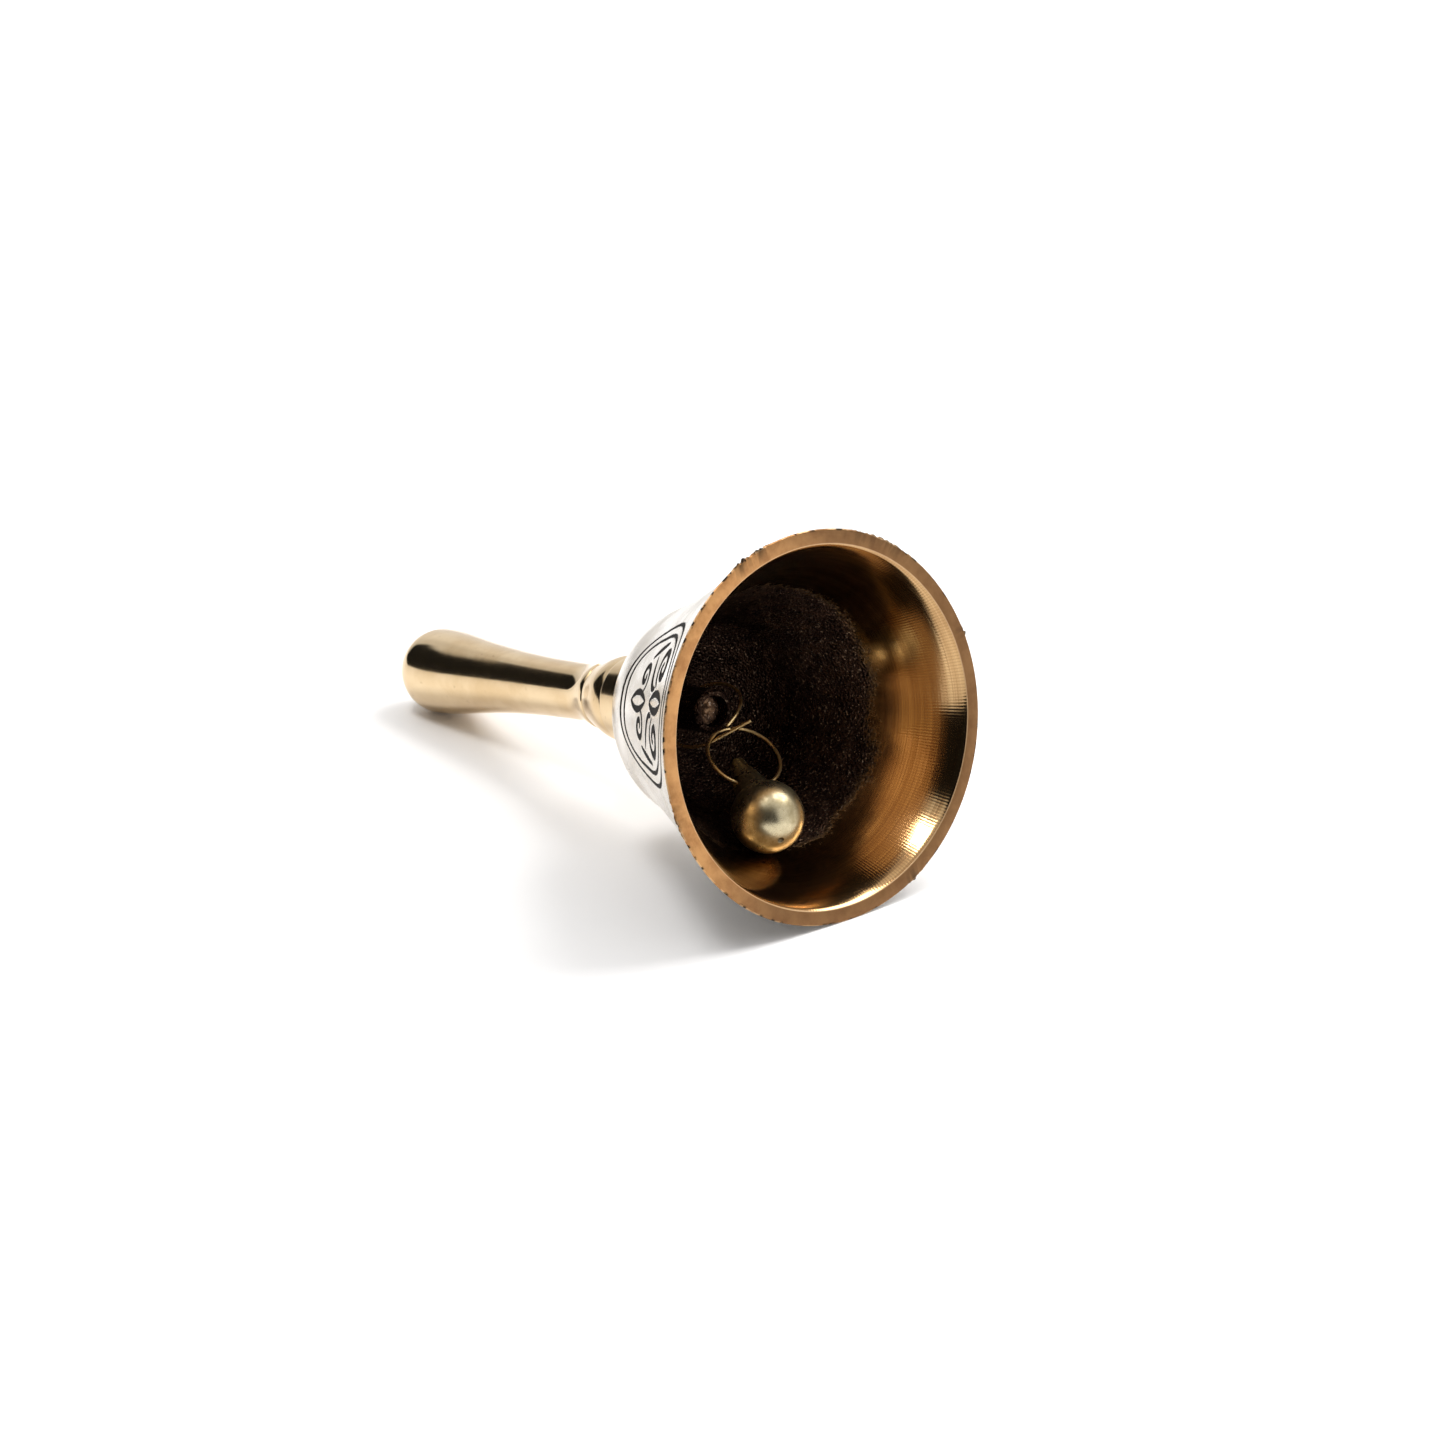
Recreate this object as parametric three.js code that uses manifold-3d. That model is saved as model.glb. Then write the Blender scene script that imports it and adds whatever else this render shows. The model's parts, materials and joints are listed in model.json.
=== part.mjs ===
// Small brass hand bell lying on its side, resting on its lip and on the bulb of its grip.
// Millimetres, +Z up. The mouth faces +X and tilts up. The origin is under the middle of the bell.
//
// Each piece is drawn in the bell's own frame: origin at the centre of the mouth, x along the axis and
// out of the mouth, so that a depth behind the mouth is a negative x.

import * as THREE from 'three';
import Module from 'manifold-3d';

const manifoldLibrary = await Module();
manifoldLibrary.setup();
const { Manifold, Mesh: ManifoldMesh } = manifoldLibrary;

// ---------------------------------------------------------------- sizes

// Cup, outside
const mouthRadius = 30;
const lipAngle = 33;            // degrees between the axis and the outside of the lip
const insideLipAngle = 41;      // the same inside, where the mouth is turned out wider
const lipReach = 3.9;           // how far the lip's own direction carries before the skirt bends
const domeRadius = 18.15;       // round shoulder, centred on the axis
const domeStart = 13;           // degrees up the shoulder where the skirt meets it
const skirtReach = 6.2;         // how far the shoulder's direction carries down the skirt
const cupHeight = 42;           // mouth to the flat of the crown
const cupWall = 2.25;

// Stud that holds the grip and the cup together
const studRadius = 2.5;
const studClearance = 0.1;
const studRecess = 2.1;         // from the boss's mouth back to the stud's end
const studDishRadius = 1.5;
const studDish = 0.5;
const studInGrip = 24;
const studEndRoom = 1;          // left past the stud, at the bottom of its hole in the grip

// Boss inside the crown, with a hole across it for the hanger
const bossWall = 0.95;
const bossToHanger = 2.67;      // from the boss's mouth to the hanger's wire, where the link hooks on
const crossHoleWall = 1.19;     // metal between the cross hole and the inside of the crown
const crossHoleTurn = 35.3;     // degrees round the bell's axis from level

// Base ring, collar and grip
const seatGap = 0.02;
const baseRingRadius = 7.45;
const baseRingHeight = 8.95;
const baseRingEdge = 0.6;
const collarRadius = 7.15;
const collarTopRadius = 5.7;
const collarHeight = 7.75;
const collarBulge = 0.5;
const gripLength = 61.5;
const gripFootRadius = 5.75;
const gripFootHeight = 5.7;
const gripFootReach = 1.4;      // how far the foot's straight side carries
const gripNeckRadius = 4.85;
const gripWaistReach = 2.85;    // how far the neck carries towards the foot
const gripNeckReach = 30;       // and towards the bulb
const gripBulbRadius = 7.65;
const gripBulbReach = 9;

// Wire rings
const wireRadius = 0.325;
const ringGap = 0.3;            // free space left round a wire that moves
const eyePlay = 0.68;           // the same in the eye of the clapper, which hangs askew on its ring
const hangerRadius = 6.45;
const hangerSwing = 13.3;       // degrees the ring droops from the bell's axis
const hookAngle = -26;          // degrees round the hanger, from its mouth side
const tailAngle = -34;
const tailLength = 6.4;
const ringEndAngle = -10;
const sideStepStart = 0.75;     // share of the hanger's turn after which its end steps aside
const linkRadius = 6;
const linkDroop = 39.5;         // degrees below the bell's axis
const linkTurn = 22;            // degrees sideways
const linkRoll = 14;
const eyeAngle = -43;           // degrees round the link, from the point opposite the hook
const linkGapTurn = 150;        // degrees round the link, from the clapper's eye, to its closed cut
const linkCut = 0.3;

// Clapper
const ballRadius = 5.7;
const stemLength = 13.8;        // ball's centre to the far end of the stem
const stemEndRadius = 1.25;
const stemEndEdge = 0.6;
const stemRootRadius = 3.3;
const eyeReach = 8;             // ball's centre to the eye
const dimpleRadius = 0.55;
const dimpleDepth = 0.5;
const clapperTurn = -17;        // degrees sideways
const clapperRoll = -17;
const restGap = 0.27;           // between the ball and the cup that it lies on

// Facets
const cupFacets = 64;
const smallFacets = 48;
const profileSteps = 10;
const wireFacets = 5;           // for each half turn of the section
const hangerSteps = 84;
const linkSteps = 72;

// ---------------------------------------------------------------- colours

const silver = { color: 0xd9d3c8, roughness: 0.22, metalness: 1 };
const paleBrass = { color: 0xd8bd84, roughness: 0.18, metalness: 1 };
const darkBrass = { color: 0x6d5238, roughness: 0.55, metalness: 1 };
const wireBrass = { color: 0xc29a4c, roughness: 0.3, metalness: 1 };
const ballBrass = { color: 0xb0a070, roughness: 0.3, metalness: 1 };

// ---------------------------------------------------------------- geometry helpers

const radians = THREE.MathUtils.degToRad;

// A point of a turned outline: depth behind the mouth and distance from the axis.
function at(depth, radius) {
  return new THREE.Vector2(radius, depth);
}

function curvePoints(start, startHandle, endHandle, end) {
  return new THREE.CubicBezierCurve(start, startHandle, endHandle, end).getPoints(profileSteps);
}

// Arc of a circle centred on the axis, from one angle to another, in degrees from the equator.
function arcPoints(centreDepth, radius, fromAngle, toAngle, steps = profileSteps) {
  return Array.from({ length: steps + 1 }, (_, i) => {
    const angle = radians(THREE.MathUtils.lerp(fromAngle, toAngle, i / steps));
    return at(centreDepth + radius * Math.sin(angle), radius * Math.cos(angle));
  });
}

// Leaves out points that repeat the one before.
function withoutRepeats(points) {
  return points.filter((point, i) => i === 0 || point.distanceTo(points[i - 1]) > 1e-6);
}

// Turns an outline round the bell's axis. A facet, not an edge, faces straight down.
function turned(outline, facets) {
  const geometry = new THREE.LatheGeometry(withoutRepeats(outline), facets);
  geometry.rotateY(Math.PI / facets);
  geometry.rotateZ(Math.PI / 2);
  return facingOut(geometry);
}

function signedVolume(geometry) {
  const solid = geometry.index ? geometry.toNonIndexed() : geometry;
  const position = solid.getAttribute('position');
  const [a, b, c] = [new THREE.Vector3(), new THREE.Vector3(), new THREE.Vector3()];
  let volume = 0;
  for (let i = 0; i < position.count; i += 3) {
    a.fromBufferAttribute(position, i);
    b.fromBufferAttribute(position, i + 1);
    c.fromBufferAttribute(position, i + 2);
    volume += a.dot(b.cross(c)) / 6;
  }
  return volume;
}

// Turns every triangle over if the solid came out inside out.
function facingOut(geometry) {
  if (signedVolume(geometry) < 0) {
    const order = geometry.index.array;
    for (let i = 0; i < order.length; i += 3) {
      [order[i], order[i + 1]] = [order[i + 1], order[i]];
    }
  }
  return geometry;
}

// How far a ring's wire bows away from its chord inside a hole of the given half length.
function bowIn(ringRadius, halfLength) {
  return ringRadius - Math.sqrt(ringRadius ** 2 - halfLength ** 2);
}

// Distance from the axis to the flat of a facet.
function flatRadius(radius, facets) {
  return radius * Math.cos(Math.PI / facets);
}

// Round wire along a curve.
function wire(path, steps) {
  const section = new THREE.Shape().absarc(0, 0, wireRadius, 0, 2 * Math.PI);
  return new THREE.ExtrudeGeometry(section, {
    steps, extrudePath: path, curveSegments: wireFacets,
  });
}

function toManifold(geometry) {
  const position = geometry.getAttribute('position');
  const order = geometry.index ? geometry.index.array : Array.from({ length: position.count }, (_, i) => i);
  const mesh = new ManifoldMesh({
    numProp: 3,
    vertProperties: new Float32Array(position.array),
    triVerts: Uint32Array.from(order),
  });
  mesh.merge();
  return new Manifold(mesh);
}

function fromManifold(solid) {
  const mesh = solid.getMesh();
  const geometry = new THREE.BufferGeometry();
  geometry.setAttribute('position', new THREE.BufferAttribute(mesh.vertProperties, mesh.numProp));
  geometry.setIndex(new THREE.BufferAttribute(mesh.triVerts, 1));
  return geometry;
}

function cut(body, tool) {
  return fromManifold(toManifold(body).subtract(toManifold(tool)));
}

function piece(name, geometry, finish) {
  geometry.computeVertexNormals();
  const mesh = new THREE.Mesh(geometry, new THREE.MeshStandardMaterial({ name, ...finish }));
  mesh.name = name;
  return mesh;
}

// ---------------------------------------------------------------- cup

const boreRadius = studRadius + studClearance;
const bossRadius = boreRadius + bossWall;
const domeCentreDepth = cupHeight - Math.sqrt(domeRadius ** 2 - baseRingRadius ** 2);
const insideRadius = domeRadius - cupWall;
const crownInsideDepth = domeCentreDepth + Math.sqrt(insideRadius ** 2 - bossRadius ** 2);

// The hanger's wire bows inside the cross hole, which is wide enough for the bow and for play round
// the wire. The hanger's far side stands clear of the boss's mouth.
const hangerBow = bowIn(hangerRadius, bossRadius);
const crossHoleRadius = hangerBow / 2 + wireRadius + ringGap;
const crossHoleDepth = crownInsideDepth - crossHoleWall - crossHoleRadius;
const bossMouthDepth = crossHoleDepth - (2 * hangerRadius - hangerBow / 2) + bossToHanger;

// Skirt and shoulder of the cup's outside, or of its inside when `inset` is the wall. Runs from the
// mouth, where it leaves the axis at `flare` degrees, to the given end angle of the shoulder.
function cupSide(inset, flare, shoulderEnd) {
  const lip = radians(flare);
  const join = radians(domeStart);
  const radius = domeRadius - inset;
  const lipPoint = at(0, mouthRadius - inset);
  const joinPoint = at(domeCentreDepth + radius * Math.sin(join), radius * Math.cos(join));
  const lipHandle = at(lipReach * Math.cos(lip), lipPoint.x - lipReach * Math.sin(lip));
  const joinHandle = at(joinPoint.y - skirtReach * Math.cos(join), joinPoint.x + skirtReach * Math.sin(join));
  const skirt = curvePoints(lipPoint, lipHandle, joinHandle, joinPoint);
  return [...skirt, ...arcPoints(domeCentreDepth, radius, domeStart, shoulderEnd)];
}

// Angle of the shoulder at which it is the given distance from the axis.
function shoulderAngle(radius, distance) {
  return THREE.MathUtils.radToDeg(Math.acos(distance / radius));
}

// Straight round bar through the bell's axis, turned to the cross hole's direction.
function crossHoleTool() {
  const length = 2 * (bossRadius + ringGap);
  const tool = new THREE.CylinderGeometry(crossHoleRadius, crossHoleRadius, length, smallFacets);
  tool.rotateX(radians(crossHoleTurn));
  tool.translate(-crossHoleDepth, 0, 0);
  return tool;
}

function bellCup() {
  const outside = cupSide(0, lipAngle, shoulderAngle(domeRadius, baseRingRadius));
  const inside = cupSide(cupWall, insideLipAngle, shoulderAngle(insideRadius, bossRadius)).reverse();
  const body = turned([
    ...outside,
    at(cupHeight, boreRadius),
    at(bossMouthDepth, boreRadius),
    at(bossMouthDepth, bossRadius),
    ...inside,
    at(0, mouthRadius),
  ], cupFacets);
  return piece('bell_cup', cut(body, crossHoleTool()), silver);
}

// ---------------------------------------------------------------- stud, base ring, collar, grip

const baseRingDepth = cupHeight + seatGap;
const collarDepth = baseRingDepth + baseRingHeight + seatGap;
const gripDepth = collarDepth + collarHeight + seatGap;
const bulbDepth = gripDepth + gripLength - gripBulbRadius;

function stud() {
  const endDepth = bossMouthDepth + studRecess;
  const farDepth = gripDepth + studInGrip;
  const body = turned([
    at(endDepth + studDish, 0),
    at(endDepth, studDishRadius),
    at(endDepth, studRadius),
    at(farDepth, studRadius),
    at(farDepth, 0),
  ], smallFacets);
  return piece('stud', cut(body, crossHoleTool()), darkBrass);
}

function baseRing() {
  const topDepth = baseRingDepth + baseRingHeight;
  return piece('base_ring', turned([
    at(baseRingDepth, boreRadius),
    at(baseRingDepth, baseRingRadius),
    at(topDepth - baseRingEdge, baseRingRadius),
    at(topDepth, baseRingRadius - baseRingEdge),
    at(topDepth, boreRadius),
    at(baseRingDepth, boreRadius),
  ], smallFacets), paleBrass);
}

function collar() {
  const topDepth = collarDepth + collarHeight;
  const third = collarHeight / 3;
  const side = curvePoints(
    at(collarDepth, collarRadius),
    at(collarDepth + third, collarRadius + collarBulge),
    at(topDepth - third, collarTopRadius + collarBulge),
    at(topDepth, collarTopRadius),
  );
  return piece('collar', turned([
    at(collarDepth, boreRadius),
    ...side,
    at(topDepth, boreRadius),
    at(collarDepth, boreRadius),
  ], smallFacets), paleBrass);
}

function handle() {
  const boreEnd = gripDepth + studInGrip + studEndRoom;
  const neckDepth = gripDepth + gripFootHeight;
  const foot = curvePoints(
    at(gripDepth, gripFootRadius),
    at(gripDepth + gripFootReach, gripFootRadius),
    at(neckDepth - gripWaistReach, gripNeckRadius),
    at(neckDepth, gripNeckRadius),
  );
  const swell = curvePoints(
    at(neckDepth, gripNeckRadius),
    at(neckDepth + gripNeckReach, gripNeckRadius),
    at(bulbDepth - gripBulbReach, gripBulbRadius),
    at(bulbDepth, gripBulbRadius),
  );
  return piece('handle', turned([
    at(boreEnd, 0),
    at(boreEnd, boreRadius),
    at(gripDepth, boreRadius),
    ...foot,
    ...swell,
    ...arcPoints(bulbDepth, gripBulbRadius, 0, 90),
  ], smallFacets), paleBrass);
}

// ---------------------------------------------------------------- wire rings and clapper

// In the hanger's frame the origin is the centre of the cross hole, y runs along the hole, and x
// points to the mouth side of the ring. The hole's axis runs through the middle of the wire's bow.
const hangerCentre = new THREE.Vector3(hangerRadius - hangerBow / 2, 0, 0);

function onHanger(angle, lateral = 0) {
  const a = radians(angle);
  return new THREE.Vector3(hangerRadius * Math.cos(a), hangerRadius * Math.sin(a), lateral).add(hangerCentre);
}

// The hanger's wire: a straight tail, then nearly a full turn whose last quarter steps aside.
class HangerPath extends THREE.Curve {
  getPoint(t, target = new THREE.Vector3()) {
    const sweep = 360 + tailAngle - ringEndAngle;
    const arcLength = hangerRadius * radians(sweep);
    const distance = t * (tailLength + arcLength);
    if (distance < tailLength) {
      const along = new THREE.Vector3(-Math.sin(radians(tailAngle)), Math.cos(radians(tailAngle)), 0);
      return target.copy(onHanger(tailAngle)).addScaledVector(along, tailLength - distance);
    }
    const share = (distance - tailLength) / arcLength;
    const lateral = (2 * wireRadius + ringGap) * THREE.MathUtils.smoothstep(share, sideStepStart, 1);
    return target.copy(onHanger(tailAngle - sweep * share, lateral));
  }
}

function hangerRing() {
  return piece('hanger_ring', wire(new HangerPath(), hangerSteps), wireBrass);
}

// In the link's frame the origin is its centre and x points to the clapper's eye.
class LinkPath extends THREE.Curve {
  getPoint(t, target = new THREE.Vector3()) {
    const cutAngle = linkCut / linkRadius;
    const angle = radians(linkGapTurn) + cutAngle / 2 + t * (2 * Math.PI - cutAngle);
    return target.set(linkRadius * Math.cos(angle), linkRadius * Math.sin(angle), 0);
  }
}

function linkRing() {
  return piece('link_ring', wire(new LinkPath(), linkSteps), wireBrass);
}

// The stem is a cone from its root on the ball to its end. The link's wire bows inside the eye too, so
// the eye is centred on the bow.
const stemRootReach = Math.sqrt(ballRadius ** 2 - stemRootRadius ** 2);
const stemAtEye = THREE.MathUtils.mapLinear(
  eyeReach, stemRootReach, stemLength - stemEndEdge, stemRootRadius, stemEndRadius,
);
const linkBow = bowIn(linkRadius, stemAtEye);
const eyeRadius = linkBow / 2 + wireRadius + eyePlay;

function eyeOnLink() {
  const eye = new THREE.Vector3(linkRadius - linkBow / 2, 0, 0);
  return eye.applyAxisAngle(new THREE.Vector3(0, 0, 1), radians(eyeAngle));
}

// In the clapper's frame the origin is its eye, and the stem points along -x, away from the mouth.
function clapper() {
  const dimpleEdge = shoulderAngle(ballRadius, dimpleRadius);
  const stemRoot = shoulderAngle(ballRadius, stemRootRadius);
  const stemEnd = stemLength - eyeReach;
  const body = turned([
    at(dimpleDepth - eyeReach - ballRadius, 0),
    ...arcPoints(-eyeReach, ballRadius, -dimpleEdge, stemRoot),
    at(stemEnd - stemEndEdge, stemEndRadius),
    at(stemEnd, stemEndRadius - stemEndEdge),
    at(stemEnd, 0),
  ], smallFacets);
  const eye = new THREE.CylinderGeometry(eyeRadius, eyeRadius, 2 * ballRadius, smallFacets);
  return piece('clapper', cut(body, eye), ballBrass);
}

// ---------------------------------------------------------------- assembly

// A point fixed in one group's frame, read in the bell's frame.
function inBell(bell, group, point) {
  bell.updateMatrixWorld(true);
  return bell.worldToLocal(group.localToWorld(point.clone()));
}

function hangerGroup() {
  const holeFrame = new THREE.Group();
  holeFrame.position.x = -crossHoleDepth;
  holeFrame.rotation.x = radians(crossHoleTurn);
  const group = new THREE.Group();
  group.name = 'hanger_swing';
  group.rotation.y = radians(hangerSwing);
  group.add(hangerRing());
  holeFrame.add(group);
  return { holeFrame, group };
}

function linkGroup(hook) {
  const group = new THREE.Group();
  group.name = 'link_swing';
  group.rotation.set(radians(linkRoll), radians(linkDroop), radians(linkTurn), 'ZYX');
  const seat = new THREE.Vector3(linkRadius - 2 * wireRadius - ringGap, 0, 0).applyEuler(group.rotation);
  group.position.copy(hook).add(seat);
  group.add(linkRing());
  return group;
}

// Distance from a point of the bell's frame to the inside of the cup.
function distanceToCup(point) {
  const spot = new THREE.Vector3(Math.hypot(point.y, point.z), -point.x, 0);
  const corners = cupSide(cupWall, insideLipAngle, 90).map((corner) => new THREE.Vector3(corner.x, corner.y, 0));
  const distances = corners.slice(1).map((corner, i) => {
    const side = new THREE.Line3(corners[i], corner);
    return side.closestPointToPoint(spot, true, new THREE.Vector3()).distanceTo(spot);
  });
  return Math.min(...distances);
}

function clapperTilt(rise) {
  return new THREE.Euler(radians(clapperRoll), radians(rise), radians(clapperTurn), 'ZYX');
}

// Degrees that the stem rises above the bell's axis, going inwards, when the ball lies on the cup.
// A ball that can't reach the cup hangs straight down.
function restingRise(eye) {
  let [clear, touching] = [0, 90];
  while (touching - clear > 0.001) {
    const rise = (clear + touching) / 2;
    const ball = new THREE.Vector3(eyeReach, 0, 0).applyEuler(clapperTilt(rise)).add(eye);
    if (distanceToCup(ball) > ballRadius + restGap) {
      clear = rise;
    } else {
      touching = rise;
    }
  }
  return clear;
}

function clapperGroup(eye) {
  const group = new THREE.Group();
  group.name = 'clapper_swing';
  group.rotation.copy(clapperTilt(restingRise(eye)));
  group.position.copy(eye);
  group.add(clapper());
  return group;
}

function handBell() {
  const bell = new THREE.Group();
  bell.add(bellCup(), stud(), baseRing(), collar(), handle());
  const { holeFrame, group: hanger } = hangerGroup();
  bell.add(holeFrame);
  const link = linkGroup(inBell(bell, hanger, onHanger(hookAngle)));
  bell.add(link);
  bell.add(clapperGroup(inBell(bell, link, eyeOnLink())));
  return bell;
}

// Tips the bell until lip and bulb both touch the floor, and centres it over the origin.
function layDown(bell) {
  const lip = flatRadius(mouthRadius, cupFacets);
  const bulb = flatRadius(gripBulbRadius, smallFacets);
  const placed = new THREE.Group();
  bell.rotation.y = Math.atan2(bulbDepth, lip) - Math.acos(bulb / Math.hypot(lip, bulbDepth));
  placed.add(bell);
  const box = new THREE.Box3().setFromObject(placed, true);
  const centre = box.getCenter(new THREE.Vector3());
  bell.position.set(-centre.x, -centre.y, -box.min.z);
  return placed;
}

export default layDown(handBell());
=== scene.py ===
import json
import math

import bmesh
import bpy
import numpy as np
from mathutils import Matrix, Vector, noise


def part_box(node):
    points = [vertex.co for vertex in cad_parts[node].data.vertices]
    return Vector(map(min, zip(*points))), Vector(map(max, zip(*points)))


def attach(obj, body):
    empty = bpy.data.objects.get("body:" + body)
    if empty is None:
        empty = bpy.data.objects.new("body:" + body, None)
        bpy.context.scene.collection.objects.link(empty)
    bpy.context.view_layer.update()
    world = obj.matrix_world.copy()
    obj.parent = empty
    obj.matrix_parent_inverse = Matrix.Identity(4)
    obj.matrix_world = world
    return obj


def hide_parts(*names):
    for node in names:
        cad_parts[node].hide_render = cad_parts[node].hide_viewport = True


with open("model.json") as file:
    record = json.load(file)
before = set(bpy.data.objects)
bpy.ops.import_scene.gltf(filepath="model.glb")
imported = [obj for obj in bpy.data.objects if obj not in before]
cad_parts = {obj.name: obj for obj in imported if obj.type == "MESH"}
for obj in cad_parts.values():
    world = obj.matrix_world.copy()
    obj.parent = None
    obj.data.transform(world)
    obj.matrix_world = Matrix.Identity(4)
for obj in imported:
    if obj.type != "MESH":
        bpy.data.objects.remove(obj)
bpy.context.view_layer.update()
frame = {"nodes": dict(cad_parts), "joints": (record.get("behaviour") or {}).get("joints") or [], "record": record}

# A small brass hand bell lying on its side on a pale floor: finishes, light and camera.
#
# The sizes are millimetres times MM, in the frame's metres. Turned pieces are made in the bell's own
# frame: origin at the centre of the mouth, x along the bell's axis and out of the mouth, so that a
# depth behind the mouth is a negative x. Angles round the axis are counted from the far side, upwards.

# ------------------------------------------------------------------ places from the frame

MM = 0.001
rim_mount = frame["record"]["mounts"][0]
AXIS = Vector(rim_mount["axis"]).normalized()
ACROSS = Vector((0, 1, 0))
MOUTH = Vector((rim_mount["pos_m"][0], 0, rim_mount["pos_m"][2]))
BELL = Matrix.Translation(MOUTH) @ Matrix((AXIS, ACROSS, AXIS.cross(ACROSS))).transposed().to_4x4()
HOLE_AXIS = next(Vector(j["axis"]) for j in frame["joints"] if j["name"] == "hanger_swing")
HOLE_PLACE = next(Vector(j["pos_m"]) for j in frame["joints"] if j["name"] == "hanger_swing")
EYE_AXIS = next(Vector(j["axis"]) for j in frame["joints"] if j["name"] == "clapper_swing")
EYE_PLACE = next(Vector(j["pos_m"]) for j in frame["joints"] if j["name"] == "clapper_swing")


def half_width(node):
    """Radius of a turned CAD node, measured across the bell."""
    low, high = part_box(node)
    return (high.y - low.y) / 2


# ------------------------------------------------------------------ sizes

# Cup
mouth_radius = half_width("bell_cup")
lip_angle = 33
inside_lip_angle = 41
lip_reach = 3.9 * MM
dome_radius = 18.15 * MM
dome_start = 13
skirt_reach = 6.2 * MM
cup_height = 42 * MM
cup_wall = 2.25 * MM
lip_round = 0.22 * MM
lip_bevel = 0.06 * MM
boss_radius = 3.55 * MM
boss_mouth_depth = 28.91 * MM
boss_edge = 0.35 * MM
bore_radius = 2.6 * MM
cross_hole_radius = 1.16 * MM
cast_start = 13.5 * MM          # depth at which turned metal gives way to the rough casting
cast_roughness = 0.12 * MM
chatter_waves = 330.0           # tool chatter marks round the inside

# Dried polish on the lip: middle and half width in degrees, and how thick it is, 0 to 1
crust_patches = (
    (112, 3.5, 1.0), (105, 2.5, 0.8), (60, 14, 0.45), (16, 2, 0.8), (296, 3, 0.7), (194, 8, 0.4),
)
crust_height = 0.55 * MM

# Stud
stud_radius = 2.5 * MM
stud_end_depth = 31.01 * MM
stud_dish_radius = 1.5 * MM
stud_dish = 0.5 * MM
stud_far_depth = 82.8 * MM
stud_edge = 0.3 * MM
stud_pit_depth = 0.22 * MM

# Base ring, collar and grip
seat_gap = 0.02 * MM
base_ring_radius = 7.45 * MM
base_ring_height = 8.95 * MM
base_ring_edge = 0.6 * MM
collar_radius = 7.15 * MM
collar_top_radius = 5.7 * MM
collar_height = 7.75 * MM
collar_bulge = 0.5 * MM
grip_length = 61.5 * MM
grip_foot_radius = 5.75 * MM
grip_foot_height = 5.7 * MM
grip_foot_reach = 1.4 * MM
grip_neck_radius = 4.85 * MM
grip_waist_reach = 2.85 * MM
grip_neck_reach = 30 * MM
grip_bulb_radius = half_width("handle")
grip_bulb_reach = 9 * MM
grip_bore_depth = 25 * MM
edge_break = 0.12 * MM

# Clapper
ball_radius = 5.7 * MM
stem_length = 13.8 * MM
stem_end_radius = 1.25 * MM
stem_end_edge = 0.6 * MM
stem_root_radius = 3.3 * MM
eye_reach = 8 * MM
eye_radius = 1.28 * MM
dimple_radius = 0.55 * MM
dimple_depth = 0.5 * MM

# Engraved cartouches round the cup, each mirrored about its own middle line
cartouches = 4
first_cartouche = 160           # degrees round the axis
cartouche_half_width = 11.6 * MM
cartouche_start = 3.2 * MM      # from the lip, along the skirt
cartouche_end = 31.8 * MM
cartouche_squareness = 2.7
border_gap = 1.8 * MM
border_line = 0.27 * MM         # half the width of an engraved line
engraving_radius = 22 * MM      # where the drawing has its true width
engraving_depth = 0.12 * MM
engraving_softness = 0.07 * MM


# ------------------------------------------------------------------ camera

camera_azimuth = 53.397
camera_elevation = 21.016
camera_roll = 1.141
camera_distance = 460.7 * MM
camera_lens = 72.98
aim_depth = 27.74 * MM          # behind the mouth, on the bell's axis
aim_drop = 1.28 * MM            # below the axis


def add_camera():
    """The photograph's view: low, from in front of the mouth and to one side."""
    azimuth = math.radians(camera_azimuth)
    elevation = math.radians(camera_elevation)
    aim = MOUTH - aim_depth * AXIS - aim_drop * AXIS.cross(ACROSS)
    back = Vector((
        math.sin(azimuth) * math.cos(elevation),
        -math.cos(azimuth) * math.cos(elevation),
        math.sin(elevation),
    ))
    data = bpy.data.cameras.new("camera")
    data.lens = camera_lens
    data.clip_start = 0.01
    camera = bpy.data.objects.new("camera", data)
    camera.location = aim + camera_distance * back
    roll = Matrix.Rotation(-math.radians(camera_roll), 3, "Z")
    turn = (-back).to_track_quat("-Z", "Y").to_matrix() @ roll
    camera.rotation_euler = turn.to_euler()
    bpy.context.scene.collection.objects.link(camera)
    bpy.context.scene.camera = camera


# ------------------------------------------------------------------ outlines

def bezier(start, start_handle, end_handle, end, steps=40):
    t = np.linspace(0, 1, steps + 1)[:, None]
    corners = [np.array(p) for p in (start, start_handle, end_handle, end)]
    weights = ((1 - t) ** 3, 3 * t * (1 - t) ** 2, 3 * t ** 2 * (1 - t), t ** 3)
    return sum(w * p for w, p in zip(weights, corners))


def arc(centre_depth, radius, from_angle, to_angle, steps=40):
    """Arc of a circle centred on the axis, in degrees from its widest place."""
    a = np.radians(np.linspace(from_angle, to_angle, steps + 1))
    return np.column_stack((centre_depth + radius * np.sin(a), radius * np.cos(a)))


def corner(centre_depth, centre_radius, radius, from_angle, to_angle, steps=5):
    """Small rounding. 0 degrees points away from the axis and 90 away from the mouth."""
    a = np.radians(np.linspace(from_angle, to_angle, steps + 1))
    return np.column_stack((centre_depth + radius * np.sin(a), centre_radius + radius * np.cos(a)))


def evenly(points, spacing):
    """The same line with its points at even distances."""
    points = np.asarray(points)
    along = np.concatenate(([0], np.cumsum(np.hypot(*np.diff(points, axis=0).T))))
    places = np.linspace(0, along[-1], max(2, round(along[-1] / spacing) + 1))
    return np.column_stack([np.interp(places, along, points[:, k]) for k in (0, 1)])


def line(*points):
    return np.array(points)


dome_centre_depth = cup_height - math.sqrt(dome_radius ** 2 - base_ring_radius ** 2)


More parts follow.
